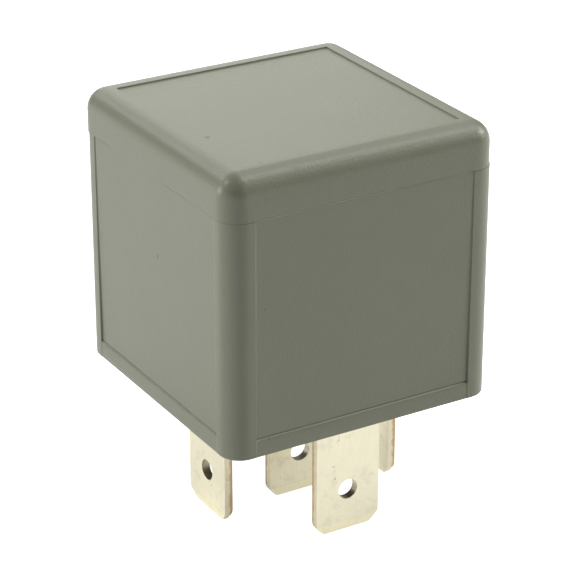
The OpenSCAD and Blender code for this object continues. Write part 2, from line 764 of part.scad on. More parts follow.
module fixed_contact_nc() {
    translate([0, nc_y, arm_z - seat_gap]) mirror([0, 0, 1]) fixed_contact();
}

// ---- Fastenings ----

module rivet(grip) {
    translate([0, 0, -grip]) cylinder(d = rivet_d, h = grip + seat_gap);
    translate([0, 0, seat_gap]) domed_head(rivet_head_d, rivet_head_h, 2 * rivet_head_d);
}

module armature_rivets() {
    color(magnet_steel) lifted() in_pair(rivet_x)
        translate([0, armature_rivet_y, spring_z + spring_t])
            rivet(spring_t + seat_gap + armature_t);
}

module yoke_rivets() {
    color(magnet_steel) in_pair(rivet_x)
        translate([0, spring_back_y + spring_t, hinge_z - yoke_rivet_drop])
            rotate([-90, 0, 0]) rivet(spring_t + seat_gap + yoke_t);
}

module terminal_rivet() {
    color(magnet_steel)
        translate([terminal_rivet_x, terminal_rivet_y, foot_z - seat_gap - strip_t])
            mirror([0, 0, 1]) rivet(strip_t + seat_gap + yoke_t);
}

// ---- Suppression resistor and solder ----

// The resistor's body, a little fatter at its two end caps.
module resistor_body() {
    cap_l = resistor_l / 5;
    color(resistor_blue) translate([-resistor_l / 2, resistor_y, resistor_z])
        rotate([0, 90, 0]) {
            cylinder(d = waist_d, h = resistor_l);
            for (end = [0, resistor_l - cap_l])
                translate([0, 0, end]) cylinder(d = resistor_d, h = cap_l);
        }
}

// One resistor lead: out of the body, round a bend and back along the terminal's tab.
module resistor_lead() {
    turn_y = resistor_y + lead_turn_r;
    translate([resistor_l / 2 + seat_gap, resistor_y, resistor_z]) rotate([0, 90, 0])
        cylinder(d = lead_d, h = lead_x - lead_turn_r - resistor_l / 2 - seat_gap);
    translate([lead_x - lead_turn_r, turn_y, resistor_z])
        rotate([0, 0, -90]) rotate_extrude(angle = 90) translate([lead_turn_r, 0])
            circle(d = lead_d);
    translate([lead_x, turn_y, resistor_z]) rotate([-90, 0, 0])
        cylinder(d = lead_d, h = lead_end_y - turn_y);
}

module resistor_leads() {
    color(solder_tin) for (m = [0, 1]) mirror([m, 0, 0]) resistor_lead();
}

// Beads of solder on the coil terminals' tabs, round the wire ends and the leads.
module solder_joints() {
    color(solder_tin) difference() {
        for (side = [-1, 1], z = [resistor_z, wire_z])
            translate([side * (tab_face_x - seat_gap), row_coil - bead_shift, z]) intersection() {
                sphere(bead_r);
                rotate([0, side * -90, 0]) cylinder(r = bead_r, h = bead_r);
            }
        for (side = [-1, 1]) {
            translate([side * lead_x, resistor_y, resistor_z]) rotate([-90, 0, 0])
                cylinder(d = lead_d + 2 * seat_gap, h = lead_end_y - resistor_y + seat_gap);
            translate([side * winding_d / 4, row_coil, wire_z]) rotate([0, side * 90, 0])
                cylinder(d = wire_d + 2 * seat_gap, h = tab_face_x - winding_d / 4 + cut);
        }
    }
}

cover();
base();
terminal_30();
terminal_85();
terminal_86();
terminal_87();
terminal_87a();
yoke();
core();
bobbin();
coil_winding();
armature();
contact_spring();
moving_contact();
fixed_contact_no();
fixed_contact_nc();
armature_rivets();
yoke_rivets();
terminal_rivet();
resistor_body();
resistor_leads();
solder_joints();
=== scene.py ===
"""Looks of a plug-in automotive relay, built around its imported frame."""

import logging
import math
from dataclasses import dataclass, field
from enum import Enum
from functools import cached_property
from typing import Callable, Iterable, Iterator, Sequence, Union

import bpy
from mathutils import Matrix, Vector

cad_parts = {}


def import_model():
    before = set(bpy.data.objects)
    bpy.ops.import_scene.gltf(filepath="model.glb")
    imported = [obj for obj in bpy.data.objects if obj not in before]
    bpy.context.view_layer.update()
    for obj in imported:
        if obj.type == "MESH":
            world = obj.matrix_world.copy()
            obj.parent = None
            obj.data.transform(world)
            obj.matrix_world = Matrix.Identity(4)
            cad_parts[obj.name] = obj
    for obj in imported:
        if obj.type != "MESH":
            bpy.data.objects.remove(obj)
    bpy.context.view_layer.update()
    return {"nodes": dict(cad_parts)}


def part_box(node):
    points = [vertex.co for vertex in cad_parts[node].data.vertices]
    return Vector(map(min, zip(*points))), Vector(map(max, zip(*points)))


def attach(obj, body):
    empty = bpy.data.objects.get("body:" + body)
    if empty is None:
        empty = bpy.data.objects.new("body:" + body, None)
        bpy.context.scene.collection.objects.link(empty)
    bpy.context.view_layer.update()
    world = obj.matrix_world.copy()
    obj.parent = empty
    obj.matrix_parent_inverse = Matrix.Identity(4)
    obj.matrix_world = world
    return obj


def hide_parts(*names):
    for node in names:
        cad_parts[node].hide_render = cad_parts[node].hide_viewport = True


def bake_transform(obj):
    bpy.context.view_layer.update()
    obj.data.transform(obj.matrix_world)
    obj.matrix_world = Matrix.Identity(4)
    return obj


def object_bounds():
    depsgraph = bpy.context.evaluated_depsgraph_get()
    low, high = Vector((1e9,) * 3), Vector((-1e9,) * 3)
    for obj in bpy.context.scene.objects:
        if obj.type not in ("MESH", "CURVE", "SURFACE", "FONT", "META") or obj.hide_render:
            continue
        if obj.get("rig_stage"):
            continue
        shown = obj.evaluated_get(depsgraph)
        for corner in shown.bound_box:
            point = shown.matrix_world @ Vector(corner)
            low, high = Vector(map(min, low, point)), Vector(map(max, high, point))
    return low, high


LOG = logging.getLogger("relay")
MM = 0.001

# The mesh attributes that mark places on a surface for its material.
CUT_EDGE = "cut_edge"
THROUGH = "through_strip"
# The last one holds painted shade: how far the colour is darkened in the cover's ledge corners, on
# its columns at the parting line, and on the lower walls of the terminals' bores.
PAINTED_SHADE = "corner_shade"

# Millimetres: less than between any two lines of a piece, and hardly more than rounding.
NEAR = 0.01
HAIR = 1e-4

# How much of a face's normal points along an axis that it looks along.
FACING = 0.9

Colour = tuple[float, float, float]
Stretch = tuple[float, float, float]
PickTest = Callable[[Vector, Vector], bool]


def srgb(red: int, green: int, blue: int) -> Colour:
    """Turns an 8-bit screen colour into a linear one.

    Args:
        red: its red, from 0 to 255.
        green: its green.
        blue: its blue.

    Returns:
        The linear colour.
    """
    return tuple(
        c / 12.92 if c <= 0.04045 else ((c + 0.055) / 1.055) ** 2.4
        for c in (red / 255, green / 255, blue / 255)
    )


def toned(colour: Colour, factor: float) -> Colour:
    """Returns a colour made darker or lighter by a factor."""
    return tuple(part * factor for part in colour)


# ---------------------------------------------------------------- shader maths


class Value:
    """A number that comes out of a shader node, with arithmetic."""

    def __init__(self, tree: "ShaderTree", socket: bpy.types.NodeSocket) -> None:
        """Keeps the socket and the tree that it belongs to.

        Args:
            tree: the node tree.
            socket: an output socket that holds a number.
        """
        self.tree = tree
        self.socket = socket

    def __add__(self, other: "Number") -> "Value":
        """Returns self + other."""
        return self.tree.calculate("ADD", self, other)

    __radd__ = __add__

    def __sub__(self, other: "Number") -> "Value":
        """Returns self - other."""
        return self.tree.calculate("SUBTRACT", self, other)

    def __rsub__(self, other: "Number") -> "Value":
        """Returns other - self."""
        return self.tree.calculate("SUBTRACT", other, self)

    def __mul__(self, other: "Number") -> "Value":
        """Returns self * other."""
        return self.tree.calculate("MULTIPLY", self, other)

    __rmul__ = __mul__

    def __truediv__(self, other: "Number") -> "Value":
        """Returns self / other."""
        return self.tree.calculate("DIVIDE", self, other)

    def __rtruediv__(self, other: "Number") -> "Value":
        """Returns other / self."""
        return self.tree.calculate("DIVIDE", other, self)

    def __abs__(self) -> "Value":
        """Returns the value without its sign."""
        return self.tree.calculate("ABSOLUTE", self)

    def above(self, edge: float, softness: float) -> "Value":
        """Returns 0 below edge and 1 above it, with a soft step.

        Args:
            edge: the value in the middle of the step.
            softness: the width of the step.

        Returns:
            The step, from 0 to 1.
        """
        start = 0.5 - edge / softness
        return self.tree.calculate("MULTIPLY_ADD", self, 1 / softness, start, clamp=True)

    def below(self, edge: float, softness: float) -> "Value":
        """Returns 1 below edge and 0 above it, with a soft step."""
        return 1 - self.above(edge, softness)


Number = Union[Value, float, int]
Socket = Union[Value, bpy.types.NodeSocket, float, int, Sequence[float]]


@dataclass(frozen=True)
class StainOrPaintedLight:
    """A colour that lies over another one where a mask is 1, used for real marks and for painted
    shade and painted highlights.
    """

    mask: Value
    amount: float
    colour: Colour


class ShaderTree:
    """The node tree of a material or a world, with one way to add a node."""

    def __init__(self, owner: Union[bpy.types.Material, bpy.types.World]) -> None:
        """Starts with an empty tree.

        Args:
            owner: what the tree belongs to.
        """
        owner.use_nodes = True
        self.tree = owner.node_tree
        self.tree.nodes.clear()

    @cached_property
    def place(self) -> bpy.types.NodeSocket:
        """Returns the place on the piece, in metres."""
        return self.node("ShaderNodeTexCoord", {}, ()).outputs["Object"]

    def node(
        self,
        kind: str,
        settings: dict[str, object],
        values: Union[Sequence[Socket], dict[Union[str, int], Socket]],
    ) -> bpy.types.Node:
        """Adds a node and links or sets its sockets.

        Args:
            kind: the node's type.
            settings: the node's own settings, set before its sockets.
            values: what its sockets get, in order, or by name or number.

        Returns:
            The node.
        """
        added = self.tree.nodes.new(kind)
        for key, value in settings.items():
            setattr(added, key, value)
        pairs = values.items() if isinstance(values, dict) else enumerate(values)
        for key, value in pairs:
            self.feed(added.inputs[key], value)
        return added

    def feed(self, socket: bpy.types.NodeSocket, value: Socket) -> None:
        """Links a socket to a value, or sets it.

        Args:
            socket: an input socket.
            value: another node's output, or a number, vector or colour.
        """
        if isinstance(value, Value):
            value = value.socket
        if isinstance(value, bpy.types.NodeSocket):
            self.tree.links.new(value, socket)
        elif socket.type == "RGBA":
            socket.default_value = (*value, 1.0)
        else:
            socket.default_value = value

    def calculate(self, operation: str, *values: Number, clamp: bool = False) -> Value:
        """Returns the result of one Math node."""
        settings = {"operation": operation, "use_clamp": clamp}
        return Value(self, self.node("ShaderNodeMath", settings, values).outputs[0])

    def mark(self, name: str) -> Value:
        """Returns what a mesh attribute says of a place."""
        attribute = self.node("ShaderNodeAttribute", {"attribute_name": name}, ())
        return Value(self, attribute.outputs["Fac"])

    def seen(self, mirrored_share: float) -> Value:
        """Returns 1 where a surface is seen straight on, and a share of that in a mirror.

        Args:
            mirrored_share: what a reflection of it gets.

        Returns:
            1 for the camera, the share for a mirror, and 0 for the light that it gives.
        """
        path = self.node("ShaderNodeLightPath", {}, ())
        straight = Value(self, path.outputs["Is Camera Ray"])
        mirrored = Value(self, path.outputs["Is Glossy Ray"]) * mirrored_share
        return self.calculate("MAXIMUM", straight, mirrored)

    def axes(self) -> tuple[Value, Value, Value]:
        """Returns the X, Y and Z of the place on the piece."""
        split = self.node("ShaderNodeSeparateXYZ", {}, (self.place,))
        return tuple(Value(self, out) for out in split.outputs)

    def noise(self, per_mm: float, detail: float = 2.0, rough: float = 0.5,
              source: Socket | None = None) -> Value:
        """Returns cloudy noise from 0 to 1.

        Args:
            per_mm: how many waves fit in a millimetre.
            detail: how many finer layers are added.
            rough: how strong the finer layers are.
            source: the vector that it is drawn on.

        Returns:
            The noise.
        """
        values = {"Vector": source or self.place, "Scale": per_mm / MM,
                  "Detail": detail, "Roughness": rough}
        return Value(self, self.node("ShaderNodeTexNoise", {}, values).outputs["Fac"])

    def stretched(self, x: float, y: float, z: float) -> bpy.types.NodeSocket:
        """Returns the place on the piece, scaled along each axis."""
        values = {"Vector": self.place, "Scale": (x, y, z)}
        return self.node("ShaderNodeMapping", {}, values).outputs["Vector"]

    def mix(self, amount: Number, first: Socket, second: Socket) -> bpy.types.NodeSocket:
        """Returns a colour between two colours, by the Mix node's sockets for colours."""
        values = {0: amount, 6: first, 7: second}
        return self.node("ShaderNodeMix", {"data_type": "RGBA"}, values).outputs[2]

    def shaded(self, colour: Colour, amount: Number, reach: float) -> bpy.types.NodeSocket:
        """Returns a colour that gets darker and lighter with a value round one half."""
        return self.mix(amount, toned(colour, 1 - reach), toned(colour, 1 + reach))

    def stained_and_shaded(self, colour: Socket, *stains_and_painted_light: StainOrPaintedLight) -> Socket:
        """Returns a colour with real marks, painted shade and painted highlights laid over it, one
        after the other.

        Args:
            colour: the clean colour.
            stains_and_painted_light: what lies over it.

        Returns:
            The colour with all of them laid over it.
        """
        for stain_or_shade in stains_and_painted_light:
            colour = self.mix(stain_or_shade.mask * stain_or_shade.amount, colour, stain_or_shade.colour)
        return colour

    def bump(self, height: Number, depth_mm: float, under: Socket | None = None,
             strength: float = 1.0) -> bpy.types.NodeSocket:
        """Returns a surface direction roughened by a height.

        Args:
            height: the height, from 0 to 1.
            depth_mm: how deep a full step of the height is.
            under: a surface direction that this one is laid on.
            strength: how much of the effect is kept.

        Returns:
            The surface direction.
        """
        values = {"Strength": strength, "Distance": depth_mm * MM, "Height": height}
        if under is not None:
            values["Normal"] = under
        return self.node("ShaderNodeBump", {}, values).outputs["Normal"]

    def finish(self, **values: Socket) -> None:
        """Ends a material in a surface with these sockets.

        Args:
            values: what the surface's sockets get, with _ for a blank in their names.
        """
        named = {key.replace("_", " "): value for key, value in values.items()}
        surface = self.node("ShaderNodeBsdfPrincipled", {}, named)
        self.node("ShaderNodeOutputMaterial", {}, {"Surface": surface.outputs["BSDF"]})


# -------------------------------------------------------------------- finishes


@dataclass(frozen=True)
class PartingLine:
    """Thin uneven flash along the parting line over the panels, with a painted highlight on it and
    a thin line of painted shade just above it.
    """

    z: float
    panel_half: float
    end_fade: float = 0.5 * MM
    wander: float = 0.22 * MM
    flash_half: float = 0.045 * MM
    groove_shade_half: float = 0.03 * MM
    groove_shade_above: float = 0.07 * MM
    softness: float = 0.05 * MM
    flash_mm: float = 0.03
    flash_strength: float = 0.8

    def draw(self, tree: ShaderTree) -> tuple[Value, Value]:
        """Draws the flash and the line of painted shade above it, which come and go along the
        line.

        Args:
            tree: the material's node tree.

        Returns:
            Masks of the flash, which gets a bump and a painted highlight, and of the painted shade
            line.
        """
        x, y, z = tree.axes()
        panels = (abs(x).below(self.panel_half, self.end_fade)
                  + abs(y).below(self.panel_half, self.end_fade))
        line_z = self.z + (tree.noise(per_mm=0.45, rough=0.6) - 0.5) * self.wander
        flash = abs(z - line_z).below(self.flash_half, self.softness)
        groove_shade = abs(z - line_z - self.groove_shade_above).below(self.groove_shade_half, self.softness)
        stretches = tree.noise(per_mm=0.16, detail=1.0)
        flash = flash * panels * stretches.above(edge=0.44, softness=0.12)
        groove_shade = groove_shade * panels * stretches.above(edge=0.52, softness=0.2)
        return flash, groove_shade


@dataclass(frozen=True)
class MouldedPlastic:
    """Plastic with the fine grain of a spark-eroded mould."""

    name: str
    colour: Colour
    roughness: float = 0.5
    grain_per_mm: float = 5.0
    grain_mm: float = 0.03
    clouds_per_mm: float = 0.12
    clouds_share: float = 0.7
    colour_reach: float = 0.06
    roughness_reach: float = 0.12
    specks: float = 0.0
    parting: PartingLine | None = None

    def draw(self, tree: ShaderTree) -> None:
        """Draws the material.

        Args:
            tree: its empty node tree.
        """
        clouds = tree.noise(self.clouds_per_mm, detail=3.0, rough=0.6)
        grain = tree.noise(self.grain_per_mm, rough=0.6)
        tone = clouds * self.clouds_share + grain * (1 - self.clouds_share)
        colour = tree.shaded(self.colour, tone, self.colour_reach)
        if self.specks:
            dots = tree.noise(per_mm=1.0, detail=1.0, rough=0.4).above(edge=0.815, softness=0.01)
            colour = tree.stained_and_shaded(colour, StainOrPaintedLight(dots, self.specks, toned(self.colour, 0.35)))
        direction = tree.bump(grain, self.grain_mm)
        if self.parting:
            shade = tree.mark(PAINTED_SHADE) * self.patchy(tree)
            flash, groove_shade = self.parting.draw(tree)
            # Painted shade in the ledges' inner corners and in the line above the parting line,
            # and a painted highlight on the flash.
            colour = tree.stained_and_shaded(
                colour,
                StainOrPaintedLight(shade, amount=0.55, colour=toned(self.colour, 0.3)),
                StainOrPaintedLight(flash, amount=0.7, colour=toned(self.colour, 1.7)),
                StainOrPaintedLight(groove_shade, amount=0.35, colour=toned(self.colour, 0.4)),
            )
            flash_mm, strength = self.parting.flash_mm, self.parting.flash_strength
            direction = tree.bump(flash, flash_mm, direction, strength)
        tree.finish(
            Base_Color=colour,
            Roughness=self.roughness + self.roughness_reach * (grain - 0.5),
            Normal=direction,
        )

    def patchy(self, tree: ShaderTree, least: float = 0.6) -> Value:
        """Returns how much shade a ledge's corner holds, from least to 1 along it."""
        patches = tree.noise(per_mm=0.25, rough=0.6).above(edge=0.45, softness=0.3)
        return least + (1 - least) * patches


@dataclass(frozen=True)
class TinnedStrip:
    """Tin-plated brass strip whose sheared edges show the brass."""

    name: str
    tin: Colour
    brass: Colour
    clouds_share: float = 0.6
    tin_reach: float = 0.1
    brass_reach: float = 0.2
    tin_metallic: float = 0.9
    brass_metallic: float = 0.7
    roughness: float = 0.36
    scratches_roughness: float = 0.16
    clouds_roughness: float = 0.1
    scratches_mm: float = 0.006
    clouds_mm: float = 0.03
    rolled: Stretch = (3.0, 3.0, 0.35)
    scratched: Stretch = (1.6, 1.6, 0.12)
    # The painted reflection on the tip's bevel band, and the line of painted shade where the band
    # starts.
    tip_z: float = -10.0 * MM
    tip_fade: float = 0.25 * MM
    tip_reflection_tint: Colour = (1.15, 1.1, 0.9)
    fold_half: float = 0.05 * MM
    fold_fade: float = 0.1 * MM

    def draw(self, tree: ShaderTree) -> None:
        """Draws the material.

        Args:
            tree: its empty node tree.
        """
        cut = tree.mark(CUT_EDGE)
        clouds = tree.noise(per_mm=0.35, detail=4.0, rough=0.65)
        rolled = tree.noise(per_mm=1.4, detail=3.0, rough=0.6, source=tree.stretched(*self.rolled))
        tone = clouds * self.clouds_share + rolled * (1 - self.clouds_share)
        tin = tree.stained_and_shaded(tree.shaded(self.tin, tone, self.tin_reach), *self.stains_and_painted_light(tree))
        brass = tree.shaded(self.brass, rolled, self.brass_reach)
        scratches = tree.noise(per_mm=5.0, rough=0.7, source=tree.stretched(*self.scratched))
        rough = self.roughness + self.scratches_roughness * (scratches - 0.5)
        direction = tree.bump(scratches, self.scratches_mm)
        tree.finish(
            Base_Color=tree.mix(cut * self.bared(tree), tin, brass),
            Metallic=self.tin_metallic - (self.tin_metallic - self.brass_metallic) * cut,
            Roughness=rough + self.clouds_roughness * clouds,
            Normal=tree.bump(clouds, self.clouds_mm, direction),
        )

    def stains_and_painted_light(self, tree: ShaderTree) -> tuple[StainOrPaintedLight, ...]:
        """Draws the real marks on the plating, and the painted reflection and painted shade laid
        on it.

        Args:
            tree: the material's node tree.

        Returns:
            Smudges, specks, the tip's bevel band tinted warmer as a painted reflection, a line of
            painted shade where that band starts, and painted shade in the bore.
        """
        z = tree.axes()[2]
        smudges = tree.noise(per_mm=0.9, detail=3.0, rough=0.7).above(edge=0.62, softness=0.2)
        specks = tree.noise(per_mm=2.6).above(edge=0.71, softness=0.03)
        speckled = tree.noise(per_mm=0.4, detail=1.0).above(edge=0.5, softness=0.2)
        # Painted reflection on the tip's bevel band, and painted shade along the line where it
        # starts.
        tip = z.below(self.tip_z, self.tip_fade)
        fold_shade = abs(z - self.tip_z).below(self.fold_half, self.fold_fade)
        painted_reflection = tuple(part * share for part, share in zip(self.tin, self.tip_reflection_tint))
        return (
            StainOrPaintedLight(smudges, amount=0.3, colour=toned(self.tin, 0.6)),
            StainOrPaintedLight(specks * speckled, amount=0.55, colour=toned(self.tin, 0.35)),
            StainOrPaintedLight(tip, amount=0.2, colour=painted_reflection),
            StainOrPaintedLight(fold_shade, amount=0.15, colour=toned(self.tin, 0.5)),
            # Painted shade on the bore's wall.
            StainOrPaintedLight(tree.mark(PAINTED_SHADE), amount=0.75, colour=toned(self.tin, 0.12)),
        )

    def bared(self, tree: ShaderTree, least: float = 0.15, patchiness: float = 1.2) -> Value:
        """Draws where a sheared edge shows the brass, mostly towards the burr side.

        Args:
            tree: the material's node tree.
            least: how bare the edge is where the tin was smeared over it.
            patchiness: how far the patches move the line between smeared and torn.

        Returns:
            How bare it is, up to 1.
        """
        patches = (tree.noise(per_mm=1.2, rough=0.6) - 0.5) * patchiness
        torn = (tree.mark(THROUGH) + patches).above(edge=0.25, softness=0.5)
        return least + (1 - least) * torn


@dataclass(frozen=True)
class PlainMetal:
    """Metal with fine rolling marks or a plated surface."""

    name: str
    colour: Colour
    roughness: float = 0.35
    marks_per_mm: float = 6.0
    along: Stretch = (1.0, 1.0, 0.2)
    marks_mm: float = 0.006
    marks_roughness: float = 0.15
    clouds_roughness: float = 0.08
    colour_reach: float = 0.12
    metallic: float = 0.95

    def draw(self, tree: ShaderTree) -> None:
        """Draws the material.

        Args:
            tree: its empty node tree.
        """
        marks = tree.noise(self.marks_per_mm, rough=0.6, source=tree.stretched(*self.along))
        clouds = tree.noise(per_mm=0.5, detail=3.0, rough=0.6)
        rough = self.roughness + self.marks_roughness * (marks - 0.5)
        tree.finish(
            Base_Color=tree.shaded(self.colour, clouds, self.colour_reach),
            Metallic=self.metallic,
            Roughness=rough + self.clouds_roughness * (clouds - 0.5),
            Normal=tree.bump(marks, self.marks_mm),
        )


@dataclass(frozen=True)
class WoundCopper:
    """Layers of enamelled copper wire, wound round an upright axis."""

    name: str
    colour: Colour
    roughness: float = 0.32
    metallic: float = 0.85
    enamel: float = 0.4
    colour_reach: float = 0.3
    wire_mm: float = 0.12
    drift_mm: float = 0.072

    def draw(self, tree: ShaderTree) -> None:
        """Draws the material.

        Args:
            tree: its empty node tree.
        """
        wire_r = self.wire_mm * MM / 2
        z = tree.axes()[2] + tree.noise(per_mm=0.3, detail=1.0) * (self.drift_mm * MM)
        # Painted shade in the hollows between the turns and a painted highlight on their crowns,
        # following the same height as the bump.
        height = tree.calculate("PINGPONG", z, wire_r) / wire_r
        tree.finish(
            Base_Color=tree.shaded(self.colour, height, self.colour_reach),
            Metallic=self.metallic,
            Roughness=self.roughness,
            Coat_Weight=self.enamel,
            Normal=tree.bump(height, self.wire_mm / 2),
        )


class Finish(Enum):
    """The finishes of the relay's pieces."""

    COVER = MouldedPlastic(
        "cover_plastic", srgb(129, 132, 112), roughness=0.36, grain_per_mm=4.5, specks=0.7,
        parting=PartingLine(z=21.2 * MM, panel_half=10.2 * MM),
    )
    BASE = MouldedPlastic("base_plastic", srgb(46, 46, 43), 0.5, 4.0, 0.015)
    BOBBIN = MouldedPlastic("bobbin_plastic", srgb(208, 198, 168), 0.4, 3.0, 0.006)
    CERAMIC = MouldedPlastic("resistor_ceramic", srgb(92, 124, 156), 0.3, 3.0, 0.004)
    STRIP = TinnedStrip("tinned_brass", tin=srgb(243, 237, 211), brass=srgb(200, 172, 124))
    WIRE = WoundCopper("copper_wire", srgb(196, 108, 58))
    STEEL = PlainMetal("magnet_steel", srgb(186, 187, 185), 0.36)
    BRONZE = PlainMetal("spring_bronze", srgb(206, 160, 98), 0.3, 8.0, (0.2, 1.0, 1.0))
    SILVER = PlainMetal("contact_silver", srgb(214, 213, 208), 0.28, 5.0, (1.0, 1.0, 1.0))
    SOLDER = PlainMetal("solder_tin", srgb(196, 198, 200), 0.22, 2.0, (1.0, 1.0, 1.0))


class Paintbox:
    """Makes each finish once and puts it on pieces."""

    def __init__(self) -> None:
        """Starts with no materials made."""
        self.made: dict[Finish, bpy.types.Material] = {}

    def dress(self, piece: bpy.types.Object, finish: Finish) -> None:
        """Gives a piece one finish all over.

        Args:
            piece: the piece.
            finish: its finish.
        """
        if finish not in self.made:
            self.made[finish] = bpy.data.materials.new(finish.value.name)
            finish.value.draw(ShaderTree(self.made[finish]))
        piece.data.materials.clear()
        piece.data.materials.append(self.made[finish])


# ------------------------------------------------------------------- modelling


def deselect() -> None:
    """Leaves edit mode and selects nothing."""
    if bpy.context.object and bpy.context.object.mode != "OBJECT":
        bpy.ops.object.mode_set(mode="OBJECT")
    bpy.ops.object.select_all(action="DESELECT")


def activate(piece: bpy.types.Object) -> None:
    """Makes a piece the only selected one, and the active one.

    Args:
        piece: the piece.
    """
    deselect()
    piece.select_set(True)
    bpy.context.view_layer.objects.active = piece


def unpick(mesh: bpy.types.Mesh) -> None:
    """Deselects a mesh's vertices, edges and faces."""
    for group in (mesh.vertices, mesh.edges, mesh.polygons):
        group.foreach_set("select", [False] * len(group))


def pick_faces(piece: bpy.types.Object, wanted: PickTest) -> None:
    """Selects a piece's faces, and leaves it in edit mode.

    Args:
        piece: the piece.
        wanted: says of a face's middle and normal whether it is picked.
    """
    bpy.ops.object.mode_set(mode="OBJECT")
    unpick(piece.data)
    for polygon in piece.data.polygons:
        polygon.select = wanted(polygon.center, polygon.normal)
    bpy.ops.object.mode_set(mode="EDIT")
    bpy.ops.mesh.select_mode(type="FACE")


def pick_edges(piece: bpy.types.Object, wanted: PickTest) -> int:
    """Selects a piece's edges, and leaves it in edit mode.

    Args:
        piece: the piece, in edit mode.
        wanted: says of an edge's two ends whether it is picked.

    Returns:
        How many edges are picked.
    """
    bpy.ops.mesh.select_mode(type="EDGE")
    bpy.ops.object.mode_set(mode="OBJECT")
    mesh = piece.data
    unpick(mesh)
    picked = [e for e in mesh.edges if wanted(*(mesh.vertices[end].co for end in e.vertices))]
    for edge in picked:
        edge.select = True
    bpy.ops.object.mode_set(mode="EDIT")
    return len(picked)


def apply_all(piece: bpy.types.Object) -> None:
    """Applies every modifier of a piece, in order.

    Args:
        piece: the piece.
    """
    activate(piece)
    for modifier in list(piece.modifiers):
        bpy.ops.object.modifier_apply(modifier=modifier.name)


def settle(piece: bpy.types.Object) -> None:
    """Turns a piece from millimetres to metres and puts its place into its mesh.

    Args:
        piece: the piece.
    """
    deselect()
    bpy.context.view_layer.update()
    piece.data.transform(Matrix.Scale(MM, 4) @ piece.matrix_world)
    piece.matrix_world = Matrix.Identity(4)


